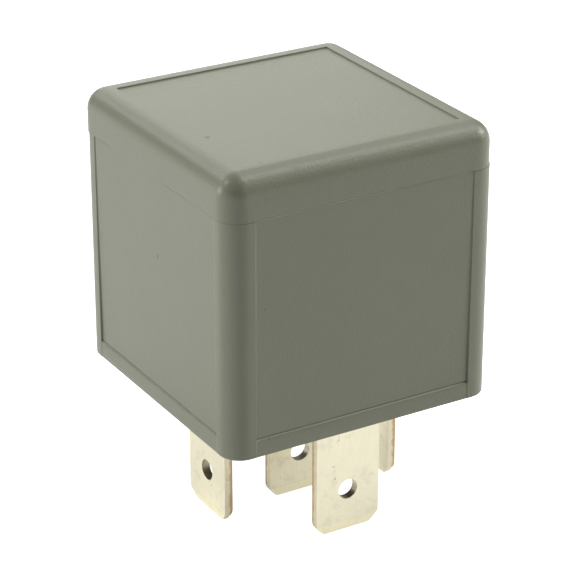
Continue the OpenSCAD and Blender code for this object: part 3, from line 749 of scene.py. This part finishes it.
@dataclass
class CoverShell:
    """The moulded cover, modelled in millimetres from the frame's box of it.

    A lip is how a ledge rounds off: places across it, positive outside the panel, each with
    how deep it is there, from 0 to 1.
    """

    paint: Paintbox
    # The rounded block and its hollow.
    corner_r: float = 1.95
    top_edge_r: float = 1.85
    edge_facets: int = 16
    rim_edge_r: float = 0.15
    rim_facets: int = 4
    wall: float = 1.2
    smooth_deg: float = 50.0
    # The parting line, where the mould halves meet in a step and the cap leans in.
    cap_band_h: float = 3.9
    mould_shift: float = 0.06
    step_h: float = 0.02
    seam_w: float = 0.08
    parting_sink: float = 0.07
    parting_fade: float = 0.6
    parting_fade_h: float = 0.35
    # The top panel.
    top_border_w: float = 2.4
    top_step: float = 0.12
    top_draft: float = 0.04
    # The side panels between the columns, and the rim strips under them.
    column_w: float = 2.48
    side_reach: float = 0.5
    rim_h: float = 1.62
    rim_step: float = 0.02
    panel_top_step: float = 0.05
    panel_foot_step: float = 0.17
    lip: tuple[tuple[float, float], ...] = (
        (0.07, 0.0), (0.04, 0.06), (0.015, 0.22), (0.0, 0.55), (-0.02, 1.0),
    )
    foot_lip: tuple[tuple[float, float], ...] = (
        (0.1, 0.0), (0.07, 0.12), (0.03, 0.4), (0.0, 0.85), (-0.02, 1.0),
    )
    # Painted shade in the ledges' inner corners and on the columns' tops at the parting line: how
    # dark it is, and how wide.
    shadow_w: float = 0.16
    side_shade: float = 0.6
    foot_shade: float = 1.7
    parting_shade: float = 1.6
    parting_shade_reach: float = 0.3
    half: Vector = field(init=False)
    height: float = field(init=False)
    parting_z: float = field(init=False)
    piece: bpy.types.Object = field(init=False)

    def build(self) -> None:
        """Models the cover and puts it in the frame's place of it."""
        low, high = (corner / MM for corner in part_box("cover"))
        self.half = Vector((high.x, high.y, 0))
        self.height = high.z
        self.parting_z = self.height - self.cap_band_h
        self.block(high - low)
        self.seams()
        self.top_panel()
        self.cavity()
        self.shade_corners()
        self.side_panels()
        self.shift_halves()
        self.smooth()
        settle(self.piece)
        self.piece.name = "cover_shell"
        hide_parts("cover")
        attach(self.piece, "frame")
        self.paint.dress(self.piece, Finish.COVER)
        LOG.info("cover shell: %d faces", len(self.piece.data.polygons))

    def block(self, size: Vector) -> None:
        """Makes the block with its rounded corners, top and rim.

        Args:
            size: the cover's width, depth and height.
        """
        deselect()
        bpy.ops.mesh.primitive_cube_add(size=1, location=(0, 0, self.height / 2))
        self.piece = bpy.context.object
        bpy.ops.object.mode_set(mode="EDIT")
        bpy.ops.transform.resize(value=size)
        bpy.ops.object.mode_set(mode="OBJECT")
        bpy.ops.object.transform_apply(location=True, rotation=False, scale=False)
        bpy.ops.object.mode_set(mode="EDIT")
        pick_edges(self.piece, lambda a, b: abs(a.z - b.z) > self.height / 2)
        bpy.ops.mesh.bevel(offset=self.corner_r, segments=self.edge_facets, affect="EDGES")
        pick_edges(self.piece, lambda a, b: min(a.z, b.z) > self.height - NEAR)
        bpy.ops.mesh.bevel(offset=self.top_edge_r, segments=self.edge_facets, affect="EDGES")
        pick_edges(self.piece, lambda a, b: max(a.z, b.z) < NEAR)
        bpy.ops.mesh.bevel(offset=self.rim_edge_r, segments=self.rim_facets, affect="EDGES")

    def cut_plane(self, point: Sequence[float], normal: Sequence[float]) -> None:
        """Draws a line round the whole block where a plane meets it."""
        bpy.ops.mesh.select_all(action="SELECT")
        bpy.ops.mesh.bisect(plane_co=point, plane_no=normal, threshold=1e-5)

    def cut_sides(self, half_x: float, half_y: float) -> None:
        """Draws the upright lines at a distance from the middle on each side.

        Args:
            half_x: the distance along X.
            half_y: the distance along Y.
        """
        for side in (-1, 1):
            self.cut_plane((side * half_x, 0, 0), (1, 0, 0))
            self.cut_plane((0, side * half_y, 0), (0, 1, 0))

    def seams(self) -> None:
        """Draws the lines that the panels, the rim strips and the parting line need."""
        half_x = self.half.x - self.column_w
        half_y = self.half.y - self.column_w
        for offset in [place for place, _ in self.lip] + [-self.shadow_w, -self.parting_fade]:
            self.cut_sides(half_x + offset, half_y + offset)
        for offset in [place for place, _ in self.foot_lip] + [-self.shadow_w]:
            self.cut_plane((0, 0, self.rim_h - offset), (0, 0, 1))
        for above in (-self.seam_w, 0, self.step_h, self.seam_w, self.parting_fade_h):
            self.cut_plane((0, 0, self.parting_z + above), (0, 0, 1))

    def top_panel(self) -> None:
        """Sinks the top panel behind its border."""
        half_x = self.half.x - self.top_border_w
        half_y = self.half.y - self.top_border_w
        self.cut_sides(half_x, half_y)
        pick_faces(
            self.piece,
            lambda middle, normal: normal.z > FACING and middle.z > self.height - NEAR
            and abs(middle.x) < half_x and abs(middle.y) < half_y,
        )
        bpy.ops.mesh.inset(thickness=self.top_draft, depth=-self.top_step)

    def cavity(self) -> None:
        """Hollows the block out from below."""
        pick_faces(
            self.piece, lambda middle, normal: normal.z < -FACING and middle.z < NEAR
        )
        bpy.ops.mesh.inset(thickness=self.wall - self.rim_edge_r, depth=0)
        bpy.ops.mesh.extrude_region_move(
            TRANSFORM_OT_translate={"value": (0, 0, self.height - self.wall)}
        )
        bpy.ops.object.mode_set(mode="OBJECT")

    def lip_share(self, offset: float, lip: Sequence[tuple[float, float]]) -> float:
        """Returns how deep a ledge is at a place.

        Args:
            offset: the place across the ledge, positive outside it.
            lip: how the ledge rounds off.

        Returns:
            The depth, from 0 outside the lip to 1 inside it.
        """
        for (outer, before), (inner, after) in zip(lip, lip[1:]):
            if offset > outer - HAIR:
                return before
            if offset > inner + HAIR:
                return before + (after - before) * (outer - offset) / (outer - inner)
        return 1.0

    def depth(self, along: float, z: float, sinks: bool) -> float:
        """Returns how far the skin lies behind the columns.

        Args:
            along: how far past the panel's edge it is, along the side.
            z: the height.
            sinks: whether the cap's edge leans in to meet the panel.

        Returns:
            The depth in millimetres.
        """
        if z > self.parting_z + NEAR:
            if z > self.parting_z + self.parting_fade_h - NEAR or along > 0 or not sinks:
                return 0.0
            return self.parting_sink * min(1.0, -along / self.parting_fade)
        up = max(0.0, (z - self.rim_h) / (self.parting_z - self.rim_h))
        panel = self.panel_foot_step + (self.panel_top_step - self.panel_foot_step) * up
        inside = self.lip_share(self.rim_h - z, self.foot_lip)
        return self.lip_share(along, self.lip) * (self.rim_step + (panel - self.rim_step) * inside)

    def skin(self) -> Iterator[tuple[bpy.types.MeshVertex, int, int, float]]:
        """Walks over the four sides.

        Yields:
            Each vertex, its side's axis and sign, and how far past the panel's edge it is.
        """
        for vertex in self.piece.data.vertices:
            place = vertex.co
            for axis, along in ((0, 1), (1, 0)):
                inset = self.half[axis] - abs(place[axis])
                beside = abs(place[along]) - (self.half[along] - self.column_w)
                if inset < self.rim_edge_r + NEAR and beside < self.side_reach:
                    yield vertex, axis, 1 if place[axis] > 0 else -1, beside

    def side_panels(self) -> None:
        """Sinks the four side panels and rim strips, with their small round lips."""
        for vertex, axis, sign, beside in self.skin():
            vertex.co[axis] -= sign * self.depth(beside, vertex.co.z, axis == 1)

    def shade_corners(self) -> None:
        """Marks painted shade in the ledges' inner corners and on the columns' tops at the parting
        line.
        """
        mark = self.piece.data.attributes.new(PAINTED_SHADE, "FLOAT", "POINT")
        for vertex, _, _, beside in self.skin():
            if vertex.co.z > self.parting_z - NEAR:
                continue
            shade = self.side_shade * self.near_corner(beside, self.lip)
            if beside < -NEAR:
                foot = self.near_corner(self.rim_h - vertex.co.z, self.foot_lip)
                shade = max(shade, self.foot_shade * foot)
            mark.data[vertex.index].value = shade
        # Painted shade along the parting line on the columns.
        column = self.half - Vector((1, 1, 0)) * (self.column_w + self.parting_shade_reach)
        for vertex in self.piece.data.vertices:
            on_column = abs(vertex.co.x) > column.x and abs(vertex.co.y) > column.y
            if on_column and -NEAR < vertex.co.z - self.parting_z < self.step_h + NEAR:
                mark.data[vertex.index].value = self.parting_shade

    def near_corner(self, offset: float, lip: Sequence[tuple[float, float]]) -> float:
        """Returns how near a place is to a ledge's inner corner.

        Args:
            offset: the place across the ledge, positive outside it.
            lip: how the ledge rounds off.

        Returns:
            1 at the corner, less further in, and 0 outside it.
        """
        corner = lip[-1][0]
        if offset > corner + HAIR:
            return 0.0
        return max(0.0, 1 - (corner - offset) / (self.shadow_w + corner))

    def shift_halves(self) -> None:
        """Sets the two mould halves a hair apart at the parting line, inside the cover's box."""
        inner = 1 - self.mould_shift / self.half.x
        for vertex in self.piece.data.vertices:
            side = -1 if vertex.co.z > self.parting_z + NEAR else 1
            vertex.co.x = vertex.co.x * inner + side * self.mould_shift
            vertex.co.y = vertex.co.y * inner + side * self.mould_shift / 2

    def smooth(self) -> None:
        """Splits the faces that have inward corners, and evens out the shading."""
        activate(self.piece)
        bpy.ops.object.mode_set(mode="EDIT")
        bpy.ops.mesh.select_all(action="SELECT")
        bpy.ops.mesh.vert_connect_concave()
        bpy.ops.object.mode_set(mode="OBJECT")
        bpy.ops.object.shade_smooth_by_angle(angle=math.radians(self.smooth_deg))


@dataclass
class SoftenedNode:
    """A copy of a frame node with its stamped or moulded edges rounded, worked in millimetres."""

    node: str
    slot: str
    finish: Finish
    edge_mm: float
    corners: PickTest | None = None
    corner_mm: float = 0.3
    corner_facets: int = 4
    edge_facets: int = 2
    merge_mm: float = 0.0005
    flat_deg: float = 0.5
    sharp_deg: float = 35.0
    smooth_deg: float = 40.0
    flat_weight: int = 80

    def build(self, paint: Paintbox) -> bpy.types.Object:
        """Copies the node, rounds its edges and dresses it.

        Args:
            paint: where its finish comes from.

        Returns:
            The new piece.
        """
        piece = self.copy()
        self.merge(piece)
        self.soften(piece)
        settle(piece)
        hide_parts(self.node)
        paint.dress(piece, self.finish)
        LOG.info("%s: %d faces", piece.name, len(piece.data.polygons))
        return piece

    def copy(self) -> bpy.types.Object:
        """Copies the node with its own mesh, without what ties it to the frame.

        Returns:
            The copy.
        """
        source = bpy.data.objects[self.node]
        piece = source.copy()
        piece.data = source.data.copy()
        piece.parent = None
        for key in list(piece.keys()):
            if key.startswith("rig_"):
                del piece[key]
        bpy.context.scene.collection.objects.link(piece)
        piece.name = self.node + "_finished"
        piece.data.transform(Matrix.Scale(1 / MM, 4))
        return piece

    def merge(self, piece: bpy.types.Object) -> None:
        """Joins the node's loose triangles into flat convex faces, and rounds its outline.

        Args:
            piece: the copy.
        """
        activate(piece)
        bpy.ops.mesh.customdata_custom_splitnormals_clear()
        bpy.ops.object.mode_set(mode="EDIT")
        bpy.ops.mesh.select_all(action="SELECT")
        bpy.ops.mesh.remove_doubles(threshold=self.merge_mm)
        bpy.ops.mesh.dissolve_limited(angle_limit=math.radians(self.flat_deg))
        bpy.ops.mesh.vert_connect_concave()
        if self.corners:
            count = pick_edges(piece, self.corners)
            bpy.ops.mesh.bevel(
                offset=self.corner_mm, segments=self.corner_facets, affect="EDGES"
            )
            LOG.info("%s: %d outline corners rounded", self.node, count)
        bpy.ops.object.mode_set(mode="OBJECT")

    def soften(self, piece: bpy.types.Object) -> None:
        """Rounds the sharp edges and evens out the shading.

        Args:
            piece: the copy.
        """
        bevel = piece.modifiers.new("edges", "BEVEL")
        bevel.width = self.edge_mm
        bevel.segments = self.edge_facets
        bevel.limit_method = "ANGLE"
        bevel.angle_limit = math.radians(self.sharp_deg)
        bevel.loop_slide = False
        apply_all(piece)
        bpy.ops.object.shade_smooth_by_angle(angle=math.radians(self.smooth_deg))
        weighted = piece.modifiers.new("normals", "WEIGHTED_NORMAL")
        weighted.keep_sharp = True
        weighted.weight = self.flat_weight
        apply_all(piece)


@dataclass
class BasePlate:
    """The moulded plate that holds the terminals and closes the cover."""

    paint: Paintbox
    edge_mm: float = 0.06

    def build(self) -> None:
        """Rounds the plate's moulded edges."""
        plate = SoftenedNode("base", "base_plastic", Finish.BASE, self.edge_mm)
        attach(plate.build(self.paint), "frame")


@dataclass
class Terminals:
    """The five stamped terminals, some with their blades turned to look along X."""

    paint: Paintbox
    turned: tuple[str, ...] = ("terminal_30", "terminal_85", "terminal_86")
    straight: tuple[str, ...] = ("terminal_87", "terminal_87a")
    edge_mm: float = 0.05
    tip_mm: float = 1.5
    least_cut_mm: float = 0.3
    straightness: float = 0.95
    wide_facing: float = 0.5
    bore_from_tip: float = 4.0 * MM
    bore_reach: float = 2.0 * MM
    bore_share: float = 0.4
    bore_fade_per_mm: float = 1.2

    def build(self) -> None:
        """Makes each terminal and marks its sheared edges."""
        for name in self.turned + self.straight:
            turned = name in self.turned
            stamped = SoftenedNode(
                name, "tinned_brass", Finish.STRIP, self.edge_mm, self.tip_corner(name, turned)
            )
            piece = stamped.build(self.paint)
            self.mark_edges(piece, turned)
            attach(piece, "frame")

    def tip_corner(self, name: str, turned: bool) -> PickTest:
        """Returns a test for the edges through the strip at the corners of a blade's tip.

        Args:
            name: the terminal's node.
            turned: whether its blade's wide faces look along X.

        Returns:
            The test.
        """
        through = 0 if turned else 1
        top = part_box(name)[0].z / MM + self.tip_mm

        def wanted(a: Vector, b: Vector) -> bool:
            """Says whether an edge from a to b is such a corner."""
            along, length = abs((b - a)[through]), (b - a).length
            return max(a.z, b.z) < top and along > self.straightness * length > self.least_cut_mm

        return wanted

    def blade(self, piece: bpy.types.Object) -> tuple[Vector, Vector]:
        """Returns the lowest and highest corners of a terminal's blade."""
        points = [v.co for v in piece.data.vertices if v.co.z < 0]
        return tuple(Vector([pick(p[i] for p in points) for i in range(3)]) for pick in (min, max))

    def mark_edges(self, piece: bpy.types.Object, turned: bool) -> None:
        """Marks the faces where the strip was sheared, the painted shade on the bore's wall and
        the burr side.

        Args:
            piece: the terminal.
            turned: whether its blade's wide faces look along X.
        """
        cut = piece.data.attributes.new(CUT_EDGE, "FLOAT", "FACE")
        bore = piece.data.attributes.new(PAINTED_SHADE, "FLOAT", "FACE")
        through, across = (0, 1) if turned else (1, 0)
        low, high = self.blade(piece)
        middle = (low + high) / 2
        half = (high - low) / 2
        for polygon in piece.data.polygons:
            if abs(polygon.normal[through]) > self.wide_facing:
                continue
            above = polygon.center.z - low.z - self.bore_from_tip
            aside = abs(polygon.center[across] - middle[across])
            if aside < self.bore_share * half[across] and abs(above) < self.bore_reach:
                # Painted shade: the bore's wall is darkest below its middle and fades out above
                # it.
                shade = 0.5 - self.bore_fade_per_mm * above / MM
                bore.data[polygon.index].value = min(1.0, max(0.0, shade))
            else:
                cut.data[polygon.index].value = 1.0
        burr = piece.data.attributes.new(THROUGH, "FLOAT", "POINT")
        for vertex in piece.data.vertices:
            side = (vertex.co[through] - middle[through]) / half[through]
            burr.data[vertex.index].value = min(1.0, max(-1.0, side))


@dataclass
class Mechanism:
    """What lies inside the cover: magnet, armature, contacts and resistor."""

    paint: Paintbox
    leaf_edge_mm: float = 0.02
    bend_below: float = 3.5 * MM
    bend_above: float = 1.0 * MM
    kept: tuple[tuple[str, Finish], ...] = (
        ("yoke", Finish.STEEL),
        ("core", Finish.STEEL),
        ("bobbin", Finish.BOBBIN),
        ("coil_winding", Finish.WIRE),
        ("armature", Finish.STEEL),
        ("moving_contact", Finish.SILVER),
        ("fixed_contact_no", Finish.SILVER),
        ("fixed_contact_nc", Finish.SILVER),
        ("armature_rivets", Finish.STEEL),
        ("yoke_rivets", Finish.STEEL),
        ("terminal_rivet", Finish.STEEL),
        ("resistor_body", Finish.CERAMIC),
        ("resistor_leads", Finish.SOLDER),
        ("solder_joints", Finish.SOLDER),
    )

    def build(self, nodes: dict[str, bpy.types.Object]) -> None:
        """Dresses the frame's inner nodes and makes the contact spring.

        Args:
            nodes: the frame's nodes by name.
        """
        for name, finish in self.kept:
            self.paint.dress(nodes[name], finish)
            LOG.info("%s: dressed in %s", name, finish.value.name)
        self.spring()

    def spring(self) -> None:
        """Makes the contact spring from its frame node, with its edges rounded."""
        leaf = SoftenedNode("contact_spring", "spring_bronze", Finish.BRONZE, self.leaf_edge_mm)
        piece = leaf.build(self.paint)
        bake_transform(piece)


# ---------------------------------------------------------------------- studio


@dataclass(frozen=True)
class Lamp:
    """A square soft lamp that looks at the object: its place, sides in metres, and watts."""

    name: str
    place: tuple[float, float, float]
    size: float
    power: float

    def build(self) -> None:
        """Adds the lamp."""
        data = bpy.data.lights.new(self.name, "AREA")
        data.size = self.size
        data.energy = self.power
        lamp = bpy.data.objects.new(self.name, data)
        lamp.location = self.place
        lamp.rotation_euler = Vector(self.place).to_track_quat("Z", "Y").to_euler()
        bpy.context.scene.collection.objects.link(lamp)


@dataclass
class Studio:
    """Floor, lamps, world and camera, with angles in degrees and lengths in metres."""

    azimuth: float = 30.74
    elevation: float = 24.67
    distance: float = 0.2149
    aim: tuple[float, float, float] = (-0.00051, -0.00124, 0.00854)
    lens_mm: float = 155.2
    sensor_mm: float = 36.0
    clip: tuple[float, float] = (0.01, 20.0)
    floor_size: float = 3.0
    floor_grey: float = 0.8
    floor_glow: float = 0.9
    mirrored_floor: float = 0.5
    mirrored_room: float = 0.2
    lamps: tuple[Lamp, ...] = (
        Lamp("above", (0.47, -0.08, 0.87), 0.4, 2.6),
        Lamp("above_back", (0.48, 0.42, 0.77), 0.4, 0.9),
        Lamp("back_high", (0.05, 0.9, 0.62), 0.5, 1.15),
        Lamp("back_low", (0.4, 0.95, 0.3), 0.5, 1.4),
        Lamp("back_left", (-0.75, 0.75, 0.3), 0.5, 0.35),
        Lamp("right", (0.85, -0.25, 0.5), 0.5, 7.0),
        Lamp("left_back_high", (-0.28, 0.78, 0.54), 0.3, 1.0),
        Lamp("left_high", (-0.6, 0.3, 0.75), 0.35, 2.6),
        Lamp("left", (-0.9, 0.45, 0.1), 0.4, 4.6),
        Lamp("front_left", (-0.7, -0.4, 0.62), 0.25, 0.3),
    )

    def build(self) -> None:
        """Sets up all of it."""
        self.floor()
        for lamp in self.lamps:
            lamp.build()
        self.world()
        self.camera()
        bpy.context.scene.view_settings.view_transform = "Standard"
        LOG.info("studio: %d lamps", len(self.lamps))

    def floor(self) -> None:
        """Adds the pale floor under the blades."""
        deselect()
        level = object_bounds()[0][2]
        bpy.ops.mesh.primitive_plane_add(size=self.floor_size, location=(0, 0, level))
        plane = bpy.context.object
        plane.name = "floor"
        material = bpy.data.materials.new("floor_paper")
        tree = ShaderTree(material)
        paper = tree.node("ShaderNodeBsdfDiffuse", {}, {"Color": (self.floor_grey,) * 3})
        glow = tree.node(
            "ShaderNodeEmission", {}, {"Color": (1, 1, 1), "Strength": self.floor_glow}
        )
        lit = tree.node("ShaderNodeAddShader", {}, (paper.outputs[0], glow.outputs[0]))
        share = tree.seen(self.mirrored_floor)
        mixed = tree.node("ShaderNodeMixShader", {}, (share, paper.outputs[0], lit.outputs[0]))
        tree.node("ShaderNodeOutputMaterial", {}, {"Surface": mixed.outputs[0]})
        plane.data.materials.append(material)
        plane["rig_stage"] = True

    def world(self) -> None:
        """Adds the white room, which is seen and mirrored but gives no light."""
        world = bpy.data.worlds.new("room")
        tree = ShaderTree(world)
        strength = tree.seen(self.mirrored_room)
        room = tree.node("ShaderNodeBackground", {}, {"Color": (1, 1, 1), "Strength": strength})
        tree.node("ShaderNodeOutputWorld", {}, {"Surface": room.outputs[0]})
        bpy.context.scene.world = world

    def camera(self) -> None:
        """Adds the camera."""
        data = bpy.data.cameras.new("camera")
        data.lens = self.lens_mm
        data.sensor_width = self.sensor_mm
        data.clip_start, data.clip_end = self.clip
        camera = bpy.data.objects.new("camera", data)
        bpy.context.scene.collection.objects.link(camera)
        az, el = math.radians(self.azimuth), math.radians(self.elevation)
        toward = Vector(
            (-math.sin(az) * math.cos(el), -math.cos(az) * math.cos(el), math.sin(el))
        )
        camera.location = Vector(self.aim) + toward * self.distance
        camera.rotation_euler = toward.to_track_quat("Z", "Y").to_euler()
        bpy.context.scene.camera = camera


def main() -> None:
    """Builds the relay's looks around its frame."""
    logging.basicConfig(level=logging.INFO, format="%(name)s: %(message)s")
    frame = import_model()
    Studio().build()
    paint = Paintbox()
    CoverShell(paint).build()
    BasePlate(paint).build()
    Terminals(paint).build()
    Mechanism(paint).build(frame["nodes"])


if __name__ == "__main__":
    main()
